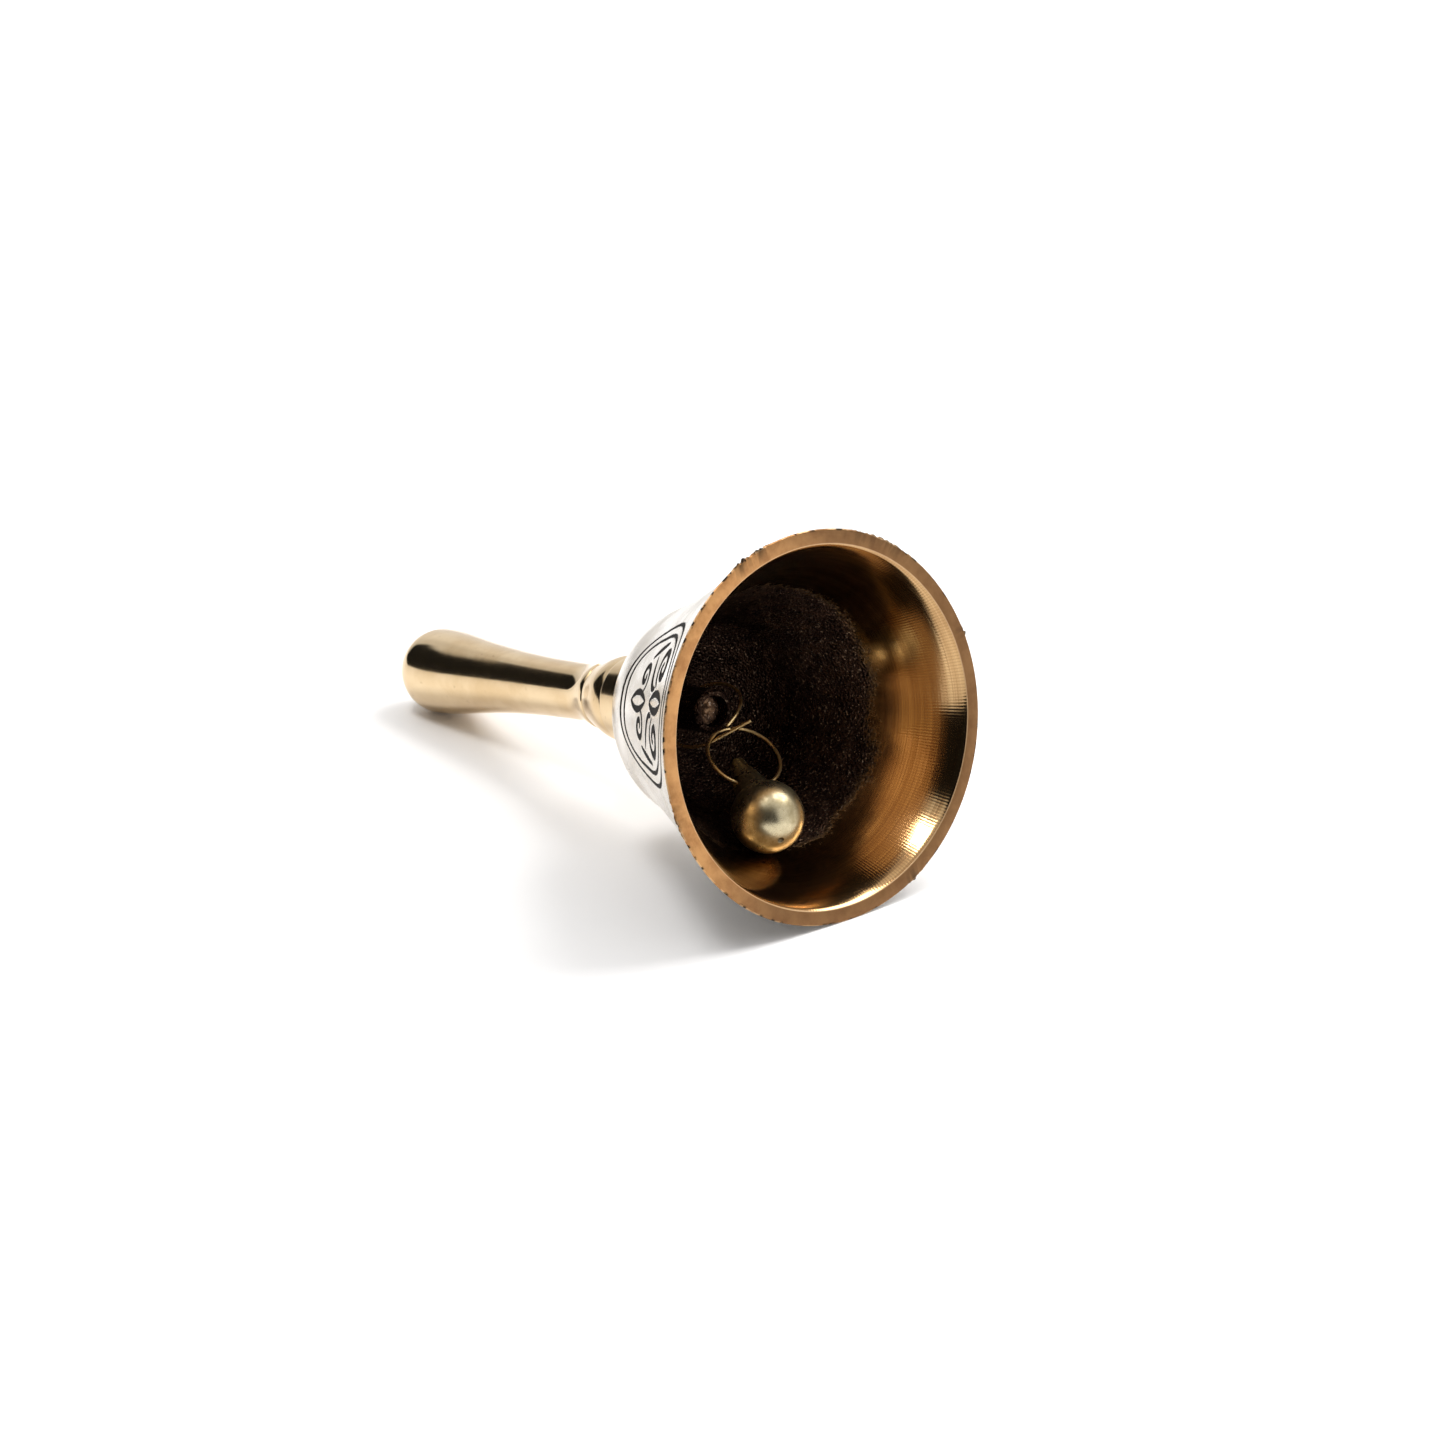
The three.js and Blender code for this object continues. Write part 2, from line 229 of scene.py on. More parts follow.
def cup_side(inset, flare, end_radius):
    """The cup's outside, or its inside when inset is the wall, from the mouth to end_radius."""
    lip, join = math.radians(flare), math.radians(dome_start)
    radius = dome_radius - inset
    start = (0, mouth_radius - inset)
    join_point = (dome_centre_depth + radius * math.sin(join), radius * math.cos(join))
    start_handle = (lip_reach * math.cos(lip), start[1] - lip_reach * math.sin(lip))
    join_handle = (
        join_point[0] - skirt_reach * math.cos(join),
        join_point[1] + skirt_reach * math.sin(join),
    )
    skirt = bezier(start, start_handle, join_handle, join_point, 400)
    dome_end = math.degrees(math.acos(end_radius / radius))
    dome = arc(dome_centre_depth, radius, dome_start, dome_end, 400)
    return np.vstack((skirt, dome[1:]))


cup_outside = cup_side(0, lip_angle, base_ring_radius)
cup_inside = cup_side(cup_wall, inside_lip_angle, boss_radius)
along_cup = np.concatenate(([0], np.cumsum(np.hypot(*np.diff(cup_outside, axis=0).T))))


# ------------------------------------------------------------------ mesh building

def turned_mesh(bands, segments):
    """Closed solid turned round the x axis. bands are (material number, outline) that follow on."""
    outline, owners = [], []
    for material, points in bands:
        for point in points:
            if outline and math.dist(point, outline[-1]) < 1e-8:
                continue
            outline.append(tuple(point))
            owners.append(material)
    if math.dist(outline[0], outline[-1]) < 1e-8:
        outline.pop()
    made = bmesh.new()
    rings = []
    for depth, radius in outline:
        if radius < 1e-7:
            rings.append([made.verts.new((-depth, 0, 0))] * segments)
            continue
        angles = (2 * math.pi * k / segments for k in range(segments))
        places = ((-depth, radius * math.cos(a), radius * math.sin(a)) for a in angles)
        rings.append([made.verts.new(place) for place in places])
    closes = outline[0][1] > 1e-7
    for i in range(len(rings) if closes else len(rings) - 1):
        here, there = rings[i], rings[(i + 1) % len(rings)]
        for k in range(segments):
            n = (k + 1) % segments
            loop = list(dict.fromkeys((here[k], here[n], there[n], there[k])))
            face = made.faces.new(loop)
            face.material_index = owners[(i + 1) % len(rings)]
    bmesh.ops.recalc_face_normals(made, faces=made.faces)
    return made


def add_piece(name, made, place, materials, body, *nodes):
    """Turns a bmesh into a smooth-shaded piece that stands for CAD nodes and rides on a body."""
    mesh = bpy.data.meshes.new(name)
    made.to_mesh(mesh)
    made.free()
    for material in materials:
        mesh.materials.append(material)
    mesh.polygons.foreach_set("use_smooth", [True] * len(mesh.polygons))
    mesh.set_sharp_from_angle(angle=math.radians(38))
    piece = bpy.data.objects.new(name, mesh)
    piece.matrix_world = place
    bpy.context.scene.collection.objects.link(piece)
    bpy.context.view_layer.update()
    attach(piece, body)
    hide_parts(*nodes)
    return piece


def rod(place, axis, radius, length, into):
    """Closed round bar in the coordinates of the piece placed by `into`, to cut with."""
    made = bmesh.new()
    turn = axis.to_track_quat("Z", "Y").to_matrix().to_4x4()
    bmesh.ops.create_cone(
        made, cap_ends=True, segments=48, radius1=radius, radius2=radius, depth=length,
        matrix=into.inverted() @ Matrix.Translation(place) @ turn,
    )
    return made


def cut(made, tool):
    """Takes the tool away from the solid. Both are bmeshes."""
    objects = []
    for solid in (made, tool):
        mesh = bpy.data.meshes.new("cut")
        solid.to_mesh(mesh)
        solid.free()
        objects.append(bpy.data.objects.new("cut", mesh))
        bpy.context.scene.collection.objects.link(objects[-1])
    body, cutter = objects
    modifier = body.modifiers.new("cut", "BOOLEAN")
    modifier.operation = "DIFFERENCE"
    modifier.solver = "EXACT"
    modifier.object = cutter
    graph = bpy.context.evaluated_depsgraph_get()
    result = bmesh.new()
    result.from_object(body, graph)
    for thing in objects:
        mesh = thing.data
        bpy.data.objects.remove(thing)
        bpy.data.meshes.remove(mesh)
    return result


# ------------------------------------------------------------------ engraving

def spiral(centre, first_radius, last_radius, from_angle, turns, width):
    """Curl that opens out from its centre. Points with half the width of the stroke at each."""
    t = np.linspace(0, 1, 90)
    a = np.radians(from_angle) + 2 * math.pi * turns * t
    r = first_radius + (last_radius - first_radius) * t
    return stroke(np.column_stack((centre[0] + r * np.cos(a), centre[1] + r * np.sin(a))), width)


def stroke(points, width):
    """A stroke that swells in the middle and thins at both ends, as a graver cuts it."""
    t = np.linspace(0, 1, len(points))
    swell = width / 2 * (0.4 + 0.85 * np.sin(math.pi * t) ** 0.7)
    return np.column_stack((points, swell))


def scroll_strokes():
    """Half of a plain mirrored scroll: two curls, the stem between them and half of a leaf."""
    strokes = [
        spiral((4.6 * MM, 10.2 * MM), 0.5 * MM, 2.9 * MM, 20, 1.35, 0.95 * MM),
        spiral((3.9 * MM, 20.6 * MM), 0.4 * MM, 2.4 * MM, -60, -1.3, 0.8 * MM),
        stroke(MM * bezier((1.9, 12.6), (1.2, 15.4), (3.4, 15.2), (6.6, 16.4)), 0.8 * MM),
        stroke(MM * bezier((0, 26.6), (2.3, 23.6), (1.4, 20.4), (0, 17.6)), 0.8 * MM),
        stroke(MM * bezier((0.1, 14.6), (1.8, 11.6), (1.2, 8.4), (0, 6.4)), 0.8 * MM),
        stroke(MM * bezier((6.9, 19.4), (7.6, 17.6), (8.2, 14.8), (8.3, 12.4)), 0.7 * MM),
    ]
    return np.vstack(strokes)


def border_distance(across, along):
    """Distance outwards from the cartouche's border, whose outline is a squared ellipse."""
    middle = (cartouche_start + cartouche_end) / 2
    half_length = (cartouche_end - cartouche_start) / 2
    p = cartouche_squareness
    u, v = np.abs(across) / cartouche_half_width, np.abs(along - middle) / half_length
    level = np.maximum((u ** p + v ** p) ** (1 / p), 1e-6)
    slope = np.hypot(
        (u / level) ** (p - 1) / cartouche_half_width,
        (v / level) ** (p - 1) / half_length,
    )
    return (level - 1) / slope


def engraving_distance(depth, angle):
    """Distance from places on the cup's outside to the nearest engraved line, negative inside it."""
    along = np.interp(depth, cup_outside[:, 0], along_cup)
    pitch = 360 / cartouches
    off = (angle - first_cartouche + pitch / 2) % pitch - pitch / 2
    across = np.radians(np.abs(off)) * engraving_radius
    border = border_distance(across, along)
    nearest = np.minimum(
        np.abs(border) - border_line,
        np.abs(border + border_gap) - border_line,
    )
    inside = np.flatnonzero(border < 0)
    drawing = scroll_strokes()
    for part in np.array_split(inside, max(1, len(inside) // 4000)):
        away = np.hypot(
            across[part, None] - drawing[None, :, 0], along[part, None] - drawing[None, :, 1]
        ) - drawing[None, :, 2]
        nearest[part] = np.minimum(nearest[part], away.min(axis=1))
    return nearest


def depth_and_angle(places):
    """Depth behind the mouth, and degrees round the axis, of places on the cup."""
    places = np.array(places)
    return -places[:, 0], np.degrees(np.arctan2(places[:, 2], places[:, 1]))


def engrave(made, outside):
    """Sinks the engraved lines into the faces of one material, with smaller faces along them."""
    for reach in (0.6 * MM, 0.3 * MM):
        faces = [f for f in made.faces if f.material_index == outside]
        depth, angle = depth_and_angle([f.calc_center_median() for f in faces])
        near = np.abs(engraving_distance(depth, angle)) < reach
        edges = {e for f, close in zip(faces, near) if close for e in f.edges}
        bmesh.ops.subdivide_edges(made, edges=list(edges), cuts=1, use_grid_fill=True)
    layer = made.verts.layers.float.new("engraved")
    verts = list({v for f in made.faces if f.material_index == outside for v in f.verts})
    depth, angle = depth_and_angle([v.co for v in verts])
    distance = engraving_distance(depth, angle)
    amount = np.clip(0.5 - distance / (2 * engraving_softness), 0, 1)
    amount = amount * amount * (3 - 2 * amount)
    radius = np.interp(depth, cup_outside[:, 0], cup_outside[:, 1])
    for vert, a, r, s, deep in zip(verts, np.radians(angle), radius, depth, amount):
        if s > lip_round * 1.5:
            r -= engraving_depth * deep
            vert.co = (-s, r * math.cos(a), r * math.sin(a))
            vert[layer] = deep


def roughen_casting(made, inside):
    """Uneven cast metal inside the cup, past the depth where turning stops."""
    verts = {v for f in made.faces if f.material_index == inside for v in f.verts}
    for vert in verts:
        depth = -vert.co.x
        radius = math.hypot(vert.co.y, vert.co.z)
        share = min(1, max(0, (depth - cast_start) / (3 * MM)))
        if share and radius > boss_radius * 1.1:
            bump = noise.fractal(vert.co / (2.2 * MM), 0.9, 2.1, 2)
            outward = Vector((0, vert.co.y, vert.co.z)) / radius
            vert.co += outward * cast_roughness * share * min(0.4, bump)


def crust(angle):
    """How much dried polish clings to the lip's edge at an angle round the axis, 0 to 1."""
    share = 0
    for middle, width, size in crust_patches:
        off = (angle - middle + 180) % 360 - 180
        share = max(share, size * math.exp(-(off / width) ** 2))
    return share


def crust_lip(made):
    """Ragged crumbs of dried polish along the lip's outer edge, with smaller faces under them."""
    def on_edge(place):
        return -place.x < 0.8 * MM and math.hypot(place.y, place.z) > mouth_radius - 0.5 * MM

    def turn(place):
        return math.degrees(math.atan2(place.z, place.y))

    for _ in range(2):
        centres = ((f, f.calc_center_median()) for f in made.faces)
        near = [f for f, place in centres if on_edge(place) and crust(turn(place)) > 0.15]
        edges = {e for f in near for e in f.edges}
        bmesh.ops.subdivide_edges(made, edges=list(edges), cuts=1, use_grid_fill=True)
    layer = made.verts.layers.float.new("crusted")
    for vert in made.verts:
        if on_edge(vert.co):
            ragged = 0.5 + 1.6 * noise.noise(vert.co / (0.5 * MM))
            lump = min(1, max(0, ragged)) * crust(turn(vert.co))
            fade = min(1, max(0, 1 - abs(-vert.co.x - 0.25 * MM) / (0.5 * MM)))
            grow = 1 + crust_height * lump * fade / mouth_radius
            vert.co.y *= grow
            vert.co.z *= grow
            vert[layer] = min(1, 2.5 * lump * fade)


# ------------------------------------------------------------------ finishes

class Nodes:
    """A node tree, with short calls to add to it."""

    def __init__(self, tree):
        self.tree = tree

    def add(self, kind, *inputs, **settings):
        node = self.tree.nodes.new(kind)
        for key, value in settings.items():
            setattr(node, key, value)
        for socket, value in zip(node.inputs, inputs):
            if isinstance(value, bpy.types.NodeSocket):
                self.tree.links.new(value, socket)
            elif value is not None:
                socket.default_value = value
        return node

    def math(self, operation, *values):
        return self.add("ShaderNodeMath", *values, operation=operation).outputs[0]

    def ramp(self, value, low, high, to_low=0.0, to_high=1.0):
        """Smooth step of a value from one range to another."""
        node = self.add("ShaderNodeMapRange", value, low, high, to_low, to_high)
        node.interpolation_type = "SMOOTHSTEP"
        return node.outputs[0]

    def mix(self, share, first, second):
        """Colour between two colours."""
        node = self.tree.nodes.new("ShaderNodeMix")
        node.data_type = "RGBA"
        colours = [c if isinstance(c, bpy.types.NodeSocket) else (*c, 1) for c in (first, second)]
        for number, value in zip((0, 6, 7), (share, *colours)):
            if isinstance(value, bpy.types.NodeSocket):
                self.tree.links.new(value, node.inputs[number])
            else:
                node.inputs[number].default_value = value
        return node.outputs[2]


class Finish(Nodes):
    """A material's nodes. Its place is in the piece's own coordinates."""

    def __init__(self, name):
        self.material = bpy.data.materials.new(name)
        self.material.use_nodes = True
        super().__init__(self.material.node_tree)
        self.shader = self.tree.nodes["Principled BSDF"]
        self.place = self.add("ShaderNodeTexCoord").outputs["Object"]

    def noise(self, place, scale, detail=3.0, rough=0.55):
        node = self.add("ShaderNodeTexNoise", place)
        node.inputs["Scale"].default_value = scale
        node.inputs["Detail"].default_value = detail
        node.inputs["Roughness"].default_value = rough
        return node.outputs["Fac"]

    def cells(self, place, scale):
        node = self.add("ShaderNodeTexVoronoi", place)
        node.inputs["Scale"].default_value = scale
        return node.outputs["Distance"]

    def round_axis(self):
        """Depth and radius from the piece's x axis, and the y and z of the direction away from it."""
        parts = self.add("ShaderNodeSeparateXYZ", self.place)
        x, y, z = parts.outputs
        squares = self.math("ADD", self.math("MULTIPLY", y, y), self.math("MULTIPLY", z, z))
        radius = self.math("SQRT", squares)
        depth = self.math("MULTIPLY", x, -1.0)
        near = self.math("MAXIMUM", radius, 1e-5)
        return depth, radius, self.math("DIVIDE", y, near), self.math("DIVIDE", z, near)

    def lines(self, along, y, z, pitch, wander=0.6):
        """Fine lines round the axis at a pitch in metres, which change slowly on their way round."""
        place = self.add(
            "ShaderNodeCombineXYZ",
            self.math("DIVIDE", along, pitch),
            self.math("MULTIPLY", y, wander),
            self.math("MULTIPLY", z, wander),
        ).outputs[0]
        return self.noise(place, 1.0, 4.0, 0.65)

    def bump(self, height, depth, normal=None):
        """Surface normal for a height from 0 to 1, on top of another normal."""
        node = self.add("ShaderNodeBump")
        node.inputs["Distance"].default_value = depth
        self.tree.links.new(height, node.inputs["Height"])
        if normal:
            self.tree.links.new(normal, node.inputs["Normal"])
        return node.outputs["Normal"]

    def finish(self, color, roughness, normal=None, metallic=1.0):
        """Fills the shader's sockets and gives the material."""
        values = {
            "Base Color": color, "Roughness": roughness, "Metallic": metallic, "Normal": normal,
        }
        for name, value in values.items():
            if isinstance(value, bpy.types.NodeSocket):
                self.tree.links.new(value, self.shader.inputs[name])
            elif value is not None:
                self.shader.inputs[name].default_value = value
        return self.material


def polished_brass(name):
    """Pale gold, turned and buffed, with faint lines round it and dull smudges."""
    f = Finish(name)
    depth, radius, y, z = f.round_axis()
    smudge = f.noise(f.place, 130, 4)
    lines = f.lines(f.math("ADD", depth, radius), y, z, 0.16 * MM)
    pits = f.ramp(f.noise(f.place, 900, 2), 0.66, 0.78)
    color = f.mix(f.ramp(smudge, 0.35, 0.7), (0.79, 0.61, 0.38), (0.69, 0.50, 0.28))
    color = f.mix(f.math("MULTIPLY", pits, 0.35), color, (0.35, 0.22, 0.10))
    rough = f.math("ADD", f.ramp(smudge, 0.3, 0.75, 0.06, 0.14), f.math("MULTIPLY", lines, 0.05))
    dents = f.bump(f.noise(f.place, 220, 2), 0.02 * MM)
    return f.finish(color, rough, f.bump(lines, 0.0012 * MM, dents))


def silver_plate():
    """Bright plate on the cup's outside, black in the engraved lines and grey round them."""
    f = Finish("silver_plate")
    depth, radius, y, z = f.round_axis()
    engraved = f.add("ShaderNodeAttribute", attribute_name="engraved").outputs["Fac"]
    smudge = f.noise(f.place, 160, 5)
    lines = f.lines(depth, y, z, 0.2 * MM)
    worn = f.ramp(f.noise(f.place, 420, 3), 0.55, 0.75)
    color = f.mix(f.ramp(smudge, 0.3, 0.75), (0.82, 0.785, 0.74), (0.69, 0.64, 0.57))
    color = f.mix(f.math("MULTIPLY", worn, 0.25), color, (0.66, 0.53, 0.37))
    color = f.mix(f.ramp(engraved, 0.02, 0.35), color, (0.012, 0.009, 0.008))
    rough = f.math("ADD", f.ramp(smudge, 0.3, 0.75, 0.16, 0.3), f.math("MULTIPLY", lines, 0.08))
    crusted = f.add("ShaderNodeAttribute", attribute_name="crusted").outputs["Fac"]
    color = f.mix(crusted, color, (0.02, 0.015, 0.012))
    filled = f.math("MAXIMUM", engraved, crusted)
    rough = f.math("MAXIMUM", rough, f.ramp(filled, 0.05, 0.6, 0.0, 0.65))
    dents = f.bump(f.noise(f.place, 260, 3), 0.03 * MM)
    metal = f.ramp(engraved, 0.1, 0.5, 1.0, 0.0)
    f.shader.inputs["Specular IOR Level"].default_value = 0.12
    return f.finish(color, rough, f.bump(lines, 0.004 * MM, dents), metal)


def lip_bronze():
    """Bare bronze of the lip: brushed and mottled, specks at its outer edge, painted highlights along its edges,
    painted shade on the far side.
    """
    f = Finish("lip_bronze")
    depth, radius, y, z = f.round_axis()
    lines = f.lines(radius, y, z, 0.12 * MM, 2.0)
    mottle = f.noise(f.place, 260, 5, 0.65)
    edge = f.ramp(radius, mouth_radius - 0.45 * MM, mouth_radius - 0.02 * MM)
    specks = f.math("MULTIPLY", f.ramp(f.noise(f.place, 700, 3), 0.54, 0.62), edge)
    crusted = f.add("ShaderNodeAttribute", attribute_name="crusted").outputs["Fac"]
    # Painted highlight: a thin lighter line on the lip face along its inner edge.
    inner_lip_radius = mouth_radius - cup_wall
    bright_edge = f.ramp(radius, inner_lip_radius + 0.02 * MM, inner_lip_radius + 0.16 * MM, 0.7, 0.0)
    # Painted shade: the lip's colour darkens towards its far side and stays light on the near side.
    near_side = f.math("SUBTRACT", f.math("MULTIPLY", z, 0.34), f.math("MULTIPLY", y, 0.94))
    color = f.mix(f.ramp(mottle, 0.35, 0.7), (0.56, 0.29, 0.11), (0.36, 0.16, 0.055))
    color = f.mix(f.math("MULTIPLY", lines, 0.3), color, (0.70, 0.42, 0.20))
    tarnish_and_shade = f.ramp(near_side, 0.1, 0.78, 0.72, 0.0)
    color = f.mix(tarnish_and_shade, color, (0.13, 0.07, 0.035))
    # Painted highlight: a broken lighter line on the lip face along its outer edge.
    outer_edge = f.ramp(radius, mouth_radius - 0.2 * MM, mouth_radius - 0.05 * MM, 0.0, 0.8)
    outer_edge_glint = f.math("MULTIPLY", outer_edge, f.ramp(f.noise(f.place, 450, 3), 0.42, 0.55))
    color = f.mix(f.math("MAXIMUM", bright_edge, outer_edge_glint), color, (0.70, 0.47, 0.26))
    color = f.mix(f.math("MAXIMUM", specks, crusted), color, (0.02, 0.015, 0.012))
    rough = f.math("ADD", f.ramp(mottle, 0.3, 0.7, 0.36, 0.5), f.math("MULTIPLY", lines, 0.1))
    rough = f.math("MAXIMUM", rough, f.math("MULTIPLY", specks, 0.8))
    grain = f.bump(mottle, 0.03 * MM)
    return f.finish(color, rough, f.bump(lines, 0.012 * MM, grain))


def bell_inside():
    """Turned bronze near the mouth, with tool lines and chatter, and dark rough casting beyond with painted
    glints.
    """
    f = Finish("bell_inside")
    depth, radius, y, z = f.round_axis()
    wobble = f.math("MULTIPLY", f.noise(f.place, 90, 3), 7 * MM)
    speckle = f.math("MULTIPLY", f.noise(f.place, 1700, 3, 0.7), 4 * MM)
    reach = f.math("ADD", depth, f.math("ADD", wobble, speckle))
    cast = f.ramp(reach, cast_start + 3.8 * MM, cast_start + 7.6 * MM)
    lines = f.lines(depth, y, z, 0.22 * MM, 0.5)
    wide_lines = f.lines(depth, y, z, 0.9 * MM, 0.5)
    angle = f.math("ARCTAN2", z, y)
    waves = f.math("MULTIPLY", angle, chatter_waves)
    ripple = f.math("SINE", f.math("ADD", waves, f.math("MULTIPLY", lines, 3.0)))
    chatter = f.math("MULTIPLY", ripple, f.ramp(depth, 5 * MM, 11 * MM, 1.0, 0.1))
    tarnish_and_shade = f.noise(f.place, 120, 4)
    turned = f.mix(f.ramp(wide_lines, 0.35, 0.65), (0.62, 0.41, 0.20), (0.45, 0.27, 0.12))
    turned = f.mix(f.ramp(tarnish_and_shade, 0.45, 0.75, 0.0, 0.5), turned, (0.36, 0.20, 0.09))
    turned = f.mix(f.ramp(lines, 0.5, 0.62, 0.0, 0.55), turned, (0.30, 0.16, 0.07))
    turned = f.mix(f.ramp(chatter, 0.1, 0.9, 0.0, 0.3), turned, (0.20, 0.11, 0.05))
    # Painted glints: small lighter specks scattered over the dark casting.
    glint_specks = f.ramp(f.noise(f.place, 2300, 2, 0.6), 0.58, 0.70)
    soot = f.ramp(f.noise(f.place, 400, 4), 0.35, 0.7)
    casting = f.mix(soot, (0.030, 0.017, 0.013), (0.075, 0.042, 0.028))
    casting = f.mix(glint_specks, casting, (0.32, 0.23, 0.16))
    color = f.mix(cast, turned, casting)
    turned_rough = f.math("ADD", f.math("MULTIPLY", wide_lines, 0.16), 0.04)
    cast_rough = f.ramp(f.noise(f.place, 700, 3), 0.3, 0.7, 0.26, 0.5)
    rough = f.add("ShaderNodeMapRange", cast, 0.0, 1.0, turned_rough, cast_rough).outputs[0]
    tool = f.bump(f.math("ADD", lines, f.math("MULTIPLY", chatter, 0.35)), 0.006 * MM)
    grains_height = f.math("ADD", f.noise(f.place, 2400, 3), f.cells(f.place, 2600))
    pebbles = f.math("MULTIPLY", f.math("SUBTRACT", grains_height, 0.95), f.ramp(cast, 0.5, 1.0))
    return f.finish(color, rough, f.bump(pebbles, 0.22 * MM, tool))


def dull_stud():
    """Dark brass rod, its end rough from the parting tool and peened."""
    f = Finish("dull_stud")
    depth, radius, y, z = f.round_axis()
    lines = f.lines(f.math("ADD", depth, radius), y, z, 0.22 * MM, 1.2)
    grime = f.noise(f.place, 600, 5, 0.7)
    color = f.mix(f.ramp(grime, 0.35, 0.65), (0.36, 0.22, 0.13), (0.12, 0.07, 0.045))
    color = f.mix(f.ramp(f.noise(f.place, 1500, 2), 0.6, 0.7), color, (0.75, 0.58, 0.45))
    rough = f.ramp(grime, 0.3, 0.7, 0.3, 0.6)
    return f.finish(color, rough, f.bump(lines, 0.05 * MM, f.bump(grime, 0.12 * MM)))


def wire_brass():
    """Yellow drawn wire with light tarnish."""
    f = Finish("wire_brass")
    tarnish_and_shade = f.noise(f.place, 500, 4)
    color = f.mix(f.ramp(tarnish_and_shade, 0.35, 0.7), (0.95, 0.72, 0.37), (0.66, 0.44, 0.19))
    scratches = f.noise(f.place, 2500, 2)
    rough = f.ramp(tarnish_and_shade, 0.3, 0.7, 0.22, 0.42)
    return f.finish(color, rough, f.bump(scratches, 0.003 * MM))


def clapper_brass():
    """Satin yellow-grey brass with turning lines round the stem's own axis, small stains and painted shade in the
    dimple.
    """
    f = Finish("clapper_brass")
    depth, radius, y, z = f.round_axis()
    lines = f.lines(f.math("ADD", depth, radius), y, z, 0.18 * MM, 0.8)
    stain = f.noise(f.place, 420, 5, 0.65)
    color = f.mix(f.ramp(stain, 0.38, 0.7), (0.60, 0.52, 0.34), (0.38, 0.31, 0.18))
    color = f.mix(f.ramp(f.noise(f.place, 1600, 2), 0.68, 0.76, 0.0, 0.5), color, (0.18, 0.14, 0.08))
    # Painted shade: the dimple in the ball's end is coloured dark.
    near_axis = f.ramp(radius, 0.75 * dimple_radius, 1.1 * dimple_radius, 1.0, 0.0)
    dimple = f.math("MULTIPLY", near_axis, f.ramp(depth, -eye_reach, 0.0, 1.0, 0.0))
    color = f.mix(f.math("MULTIPLY", dimple, 0.8), color, (0.05, 0.035, 0.02))
    rough = f.math("ADD", f.ramp(stain, 0.3, 0.7, 0.20, 0.34), f.math("MULTIPLY", lines, 0.08))
    return f.finish(color, rough, f.bump(lines, 0.008 * MM, f.bump(stain, 0.02 * MM)))


def pale_floor():
    """Matt white paper, with a glow that grows away from the bell so that it meets the tent."""
    f = Finish("pale_floor")
    grain = f.noise(f.place, 60, 4)
    color = f.mix(grain, (0.93, 0.93, 0.94), (0.95, 0.95, 0.955))
    away = f.add("ShaderNodeVectorMath", f.place, operation="LENGTH").outputs["Value"]
    f.shader.inputs["Emission Color"].default_value = (1, 0.97, 0.95, 1)
    f.tree.links.new(f.ramp(away, 0.25, 1.5, 0.03, 0.55), f.shader.inputs["Emission Strength"])
    return f.finish(color, 0.55, f.bump(grain, 0.02 * MM), 0.0)


# ------------------------------------------------------------------ pieces

def own_hole_wall(made, outside, inside):
    """The cut leaves the cross hole's wall with the outside's material, so it is given the inside's."""
    for face in made.faces:
        place = face.calc_center_median()
        near_axis = math.hypot(place.y, place.z) < base_ring_radius / 2
        if near_axis and face.material_index == outside:
            face.material_index = inside


def add_cup():
    """The cup with its crown and boss, engraved outside and rough inside."""
    outside, crown, inside, lip = 0, 1, 2, 3
    face_size = 0.6 * MM
    outer = evenly(cup_outside[cup_outside[:, 0] > lip_round], face_size)
    inner = evenly(cup_inside[cup_inside[:, 0] > lip_bevel][::-1], face_size)
    round_edge = corner(lip_round, mouth_radius - lip_round, lip_round, -90, 0)
    bore = line((cup_height, bore_radius), (boss_mouth_depth, bore_radius))
    boss_side = line((boss_mouth_depth + boss_edge, boss_radius), inner[0])
    bands = [
        (lip, round_edge),
        (outside, outer),
        (crown, line((cup_height, base_ring_radius), (cup_height, bore_radius))),
        (inside, evenly(bore, 1.5 * MM)),
        (inside, line((boss_mouth_depth, boss_radius - boss_edge))),
        (inside, evenly(boss_side, face_size)),
        (inside, inner),
        (lip, line((0, mouth_radius - cup_wall + lip_bevel), (0, mouth_radius - lip_round))),
    ]
    made = turned_mesh(bands, 184)
    made = cut(made, rod(HOLE_PLACE, HOLE_AXIS, cross_hole_radius, 2.3 * boss_radius, BELL))
    own_hole_wall(made, outside, inside)
    engrave(made, outside)
    roughen_casting(made, inside)
    crust_lip(made)
    plate, inner_finish = silver_plate(), bell_inside()
    materials = [plate, inner_finish, inner_finish, lip_bronze()]
    return add_piece("cup", made, BELL, materials, "bell", "bell_cup")


def add_stud():
    """The rod through the bell, with a dished and pitted end."""
    dish = bezier(
        (stud_end_depth + stud_dish, 0), (stud_end_depth + stud_dish, stud_dish_radius / 2),
        (stud_end_depth, stud_dish_radius / 2), (stud_end_depth, stud_dish_radius), 10,
    )
    face = line((stud_end_depth, stud_dish_radius), (stud_end_depth, stud_radius - stud_edge))
    side = line((stud_end_depth + stud_edge, stud_radius), (stud_far_depth, stud_radius))
    bands = [
        (0, dish),
        (0, evenly(face, 0.15 * MM)),
        (0, evenly(side, 2 * MM)),
        (0, line((stud_far_depth, 0))),
    ]
    made = turned_mesh(bands, 96)
    made = cut(made, rod(HOLE_PLACE, HOLE_AXIS, cross_hole_radius, 3 * stud_radius, BELL))
    for vert in made.verts:
        if -vert.co.x < stud_end_depth + 2 * stud_edge:
            vert.co.x -= stud_pit_depth * abs(noise.noise(vert.co / (0.55 * MM)))
    return add_piece("stud_rod", made, BELL, [dull_stud()], "bell", "stud")


